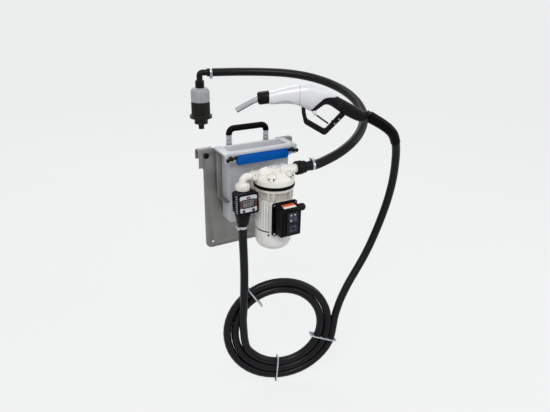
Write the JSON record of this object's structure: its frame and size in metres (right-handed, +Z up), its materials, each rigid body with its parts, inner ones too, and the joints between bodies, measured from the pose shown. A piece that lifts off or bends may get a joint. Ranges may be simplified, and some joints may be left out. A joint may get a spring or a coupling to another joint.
{
  "type": "drum barrel pump",
  "caption": "Tank-rail pump kit: steel bracket with bin and handle, round pump head on a finned motor, flow meter, suction hose with tank adaptor, and coiled hose with trigger nozzle.",
  "frame": {"origin": "on the axis of the tank rail that the two hooks hang from, midway across the back plate", "axes": "+X along the rail, to the right as seen from the pump side; +Y towards the tank; +Z up"},
  "size_m": [0.7074, 0.8542, 1.1688],
  "materials": {
    "steel": "satin stainless sheet",
    "bin_sheet": "satin grey powder coat",
    "strap_steel": "satin",
    "bolt_steel": "zinc-plated, semi-bright",
    "black_plastic": "moulded, fine texture",
    "switch_plastic": "moulded",
    "blue_key": "moulded",
    "blue_plate": "moulded, glossy",
    "grip_rubber": "moulded rubber",
    "soft_rubber": "moulded rubber",
    "pump_cream": "moulded, glossy",
    "pump_base": "moulded, glossy",
    "wobble_metal": "machined",
    "motor_paint": "die-cast, pale enamel",
    "winding": "varnished copper winding in a steel core",
    "meter_face": "moulded, silver",
    "red_key": "moulded",
    "turbine_plastic": "moulded",
    "tank_grey": "moulded",
    "tank_dark": "moulded",
    "hose_rubber": "smooth black hose",
    "tie_plastic": "moulded nylon",
    "nozzle_cream": "moulded, glossy"
  },
  "bodies": {
    "root": {"back_plate": "steel", "rail_hooks": "steel", "hook_plugs": "black_plastic", "side_brackets": "steel", "bin": "bin_sheet", "name_plate": "blue_plate", "handle_straps": "strap_steel", "handle_grip": "grip_rubber", "bracket_bolts": "bolt_steel", "pump_head": "pump_cream", "valve_covers": "pump_cream", "top_cap": "pump_cream", "membrane": "soft_rubber", "lower_body": "pump_base", "head_bolts": "bolt_steel", "valve_discs": "soft_rubber", "wobble_plate": "wobble_metal", "motor_housing": "motor_paint", "stator": "winding", "bearings": "bolt_steel", "fan_cover": "motor_paint", "casing_screws": "bolt_steel", "box_base": "black_plastic", "box_cover": "black_plastic", "switch_frame": "switch_plastic", "cable_gland": "black_plastic", "outlet_union": "pump_cream", "outlet_elbow": "pump_cream", "union_nut": "pump_cream", "meter_body": "black_plastic", "meter_face": "meter_face", "outlet_tail": "black_plastic", "inlet_nut": "black_plastic", "inlet_tail": "black_plastic", "hose_clamps": "bolt_steel", "tank_elbow": "black_plastic", "tank_nut": "tank_grey", "tank_adaptor": "tank_dark", "suction_hose": "hose_rubber", "hose_drop": "hose_rubber", "hose_coil": "hose_rubber", "hose_rise": "hose_rubber", "hose_sleeve": "hose_rubber", "zip_ties": "tie_plastic", "hose_swivel": "black_plastic"},
    "rotor": {"motor_shaft": "bolt_steel", "fan": "black_plastic"},
    "left_knob": {"knob_left": "black_plastic"},
    "right_knob": {"knob_right": "black_plastic"},
    "rocker": {"power_switch": "blue_key"},
    "reset_key": {"reset_button": "blue_key"},
    "turbine": {"meter_turbine": "turbine_plastic"},
    "left_button": {"button_left": "red_key"},
    "right_button": {"button_right": "red_key"},
    "nozzle": {"nozzle_shell": "nozzle_cream", "nozzle_collar": "black_plastic", "nozzle_spout": "bolt_steel", "nozzle_grip": "black_plastic"},
    "lever": {"nozzle_lever": "black_plastic"},
    "latch": {"nozzle_latch": "black_plastic"}
  },
  "joints": [
    {"name": "motor_spin", "type": "hinge", "parent": "root", "child": "rotor", "pos_m": [0.02, -0.185, -0.19], "axis": [0, 0, 1], "continuous": true},
    {"name": "left_knob_turn", "type": "hinge", "parent": "root", "child": "left_knob", "pos_m": [-0.116, -0.125, 0.008], "axis": [0, -1, 0], "continuous": true},
    {"name": "right_knob_turn", "type": "hinge", "parent": "root", "child": "right_knob", "pos_m": [0.124, -0.125, 0.008], "axis": [0, -1, 0], "continuous": true},
    {"name": "switch_rock", "type": "hinge", "parent": "root", "child": "rocker", "pos_m": [0.026, -0.301, -0.166], "axis": [1, 0, 0], "range_deg": [0, 18]},
    {"name": "reset_press", "type": "slide", "parent": "root", "child": "reset_key", "axis": [0, 1, 0], "range_m": [0, 0.003], "stiffness_N_per_m": 400},
    {"name": "turbine_spin", "type": "hinge", "parent": "root", "child": "turbine", "pos_m": [-0.101, -0.185, -0.1235], "axis": [0, 0, 1], "continuous": true},
    {"name": "left_button_press", "type": "slide", "parent": "root", "child": "left_button", "axis": [0, 0.9976, -0.0698], "range_m": [0, 0.0015], "stiffness_N_per_m": 300},
    {"name": "right_button_press", "type": "slide", "parent": "root", "child": "right_button", "axis": [0, 0.9976, -0.0698], "range_m": [0, 0.0015], "stiffness_N_per_m": 300},
    {"name": "nozzle_swivel", "type": "hinge", "parent": "root", "child": "nozzle", "pos_m": [0.33, -0.278, 0.141], "axis": [0.7647, -0.4415, -0.4695], "continuous": true},
    {"name": "lever_squeeze", "type": "hinge", "parent": "nozzle", "child": "lever", "pos_m": [0.17238, -0.187, 0.145], "axis": [-0.5, -0.866, 0], "range_deg": [0, 25], "stiffness_Nm_per_rad": 2},
    {"name": "latch_flip", "type": "hinge", "parent": "nozzle", "child": "latch", "pos_m": [0.22781, -0.219, 0.111], "axis": [-0.5, -0.866, 0], "range_deg": [0, 25]}
  ]
}
